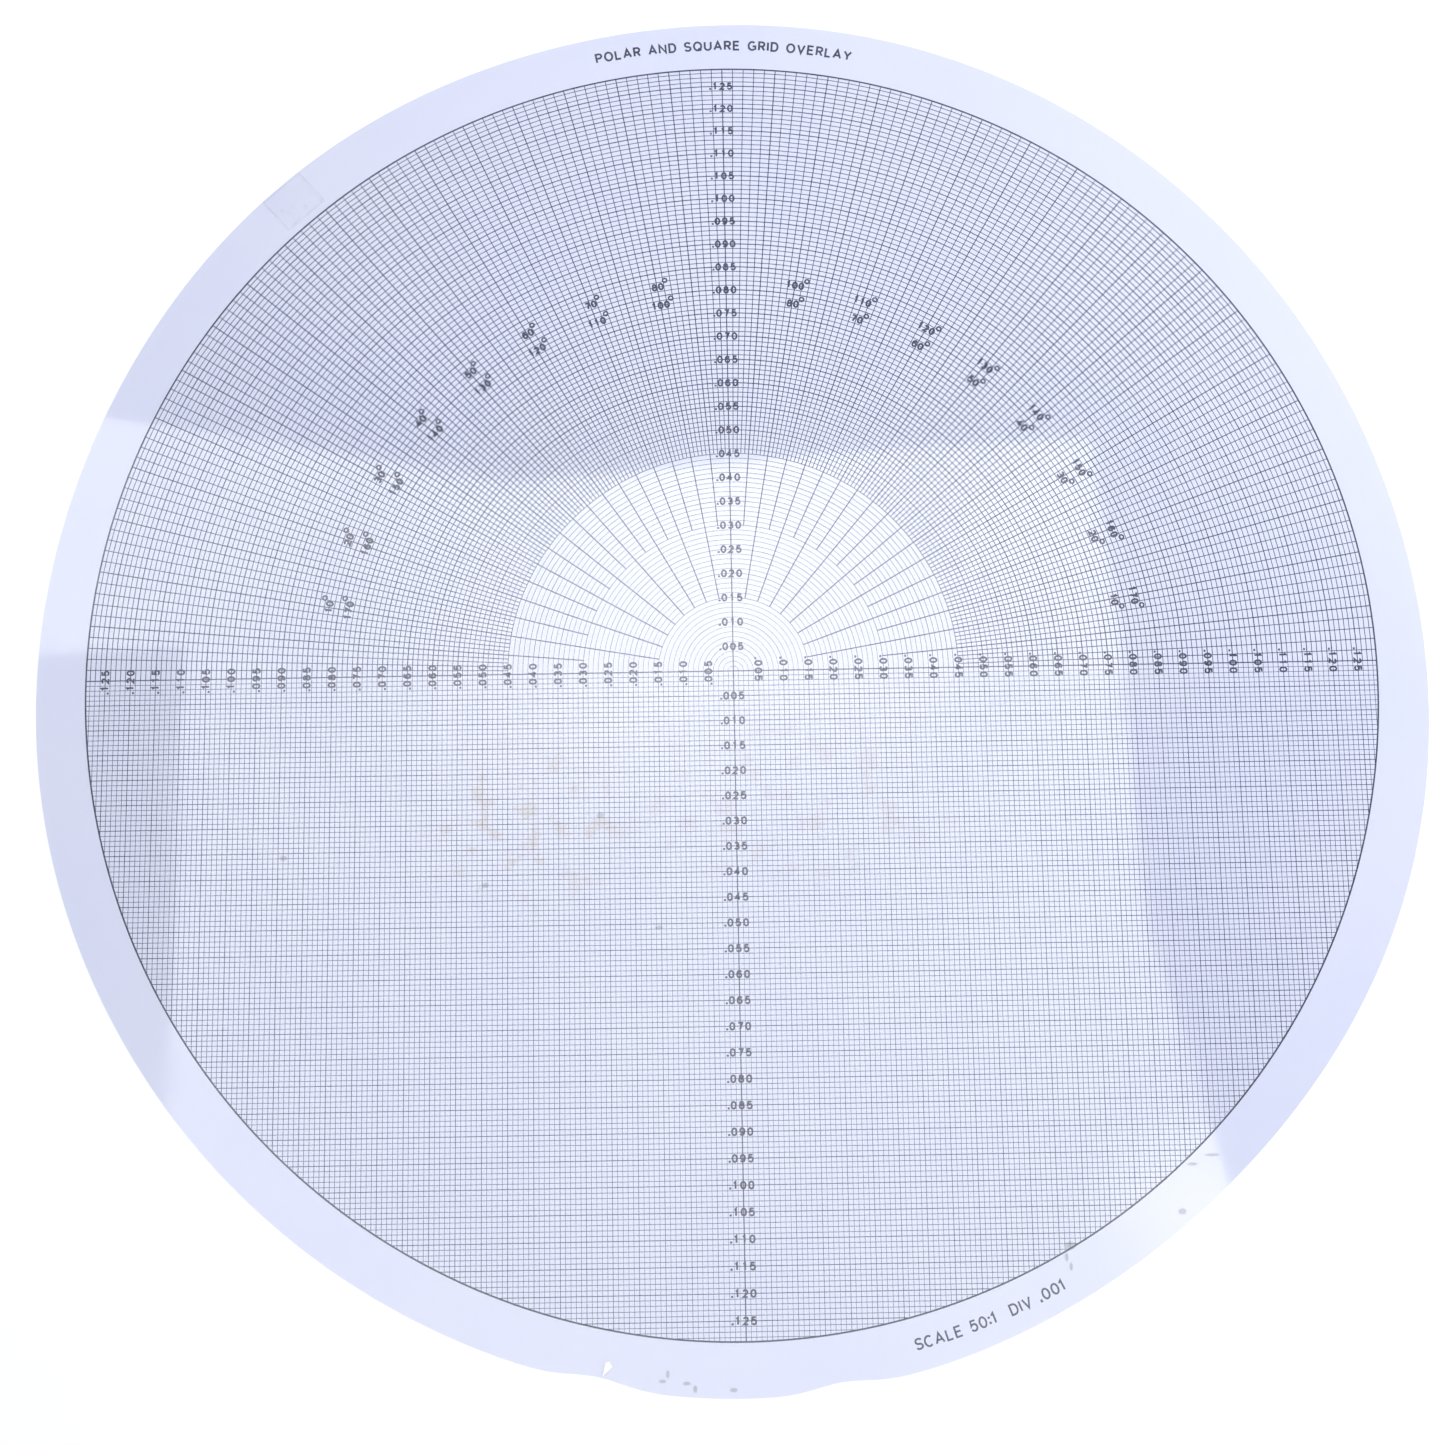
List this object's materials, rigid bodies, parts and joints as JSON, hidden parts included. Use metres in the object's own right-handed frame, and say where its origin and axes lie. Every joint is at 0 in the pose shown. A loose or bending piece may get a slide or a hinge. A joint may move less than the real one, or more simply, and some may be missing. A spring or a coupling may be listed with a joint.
{
  "type": "optical comparator overlay chart",
  "caption": "Thin clear round film printed with arcs and rays above its horizontal axis and a square grid below, inside a border circle.",
  "frame": {"origin": "centre of the printed chart, on the film's underside", "axes": "+X along the chart's horizontal axis to the right as it is read, +Y along its vertical axis towards the 90 degree ray, +Z out of the printed face"},
  "size_m": [0.3523, 0.353, 0.0002],
  "materials": {
    "clear_film": "glossy clear polyester film with a faint lavender cast",
    "printed_ink": "thin blue-black printed line",
    "clear_tape": "aged clear adhesive tape, slightly hazy"
  },
  "bodies": {
    "root": {"film_sheet": "clear_film", "border_circle": "printed_ink", "radius_chart": "printed_ink", "square_grid": "printed_ink", "tape_remnant": "clear_tape"}
  },
  "joints": []
}
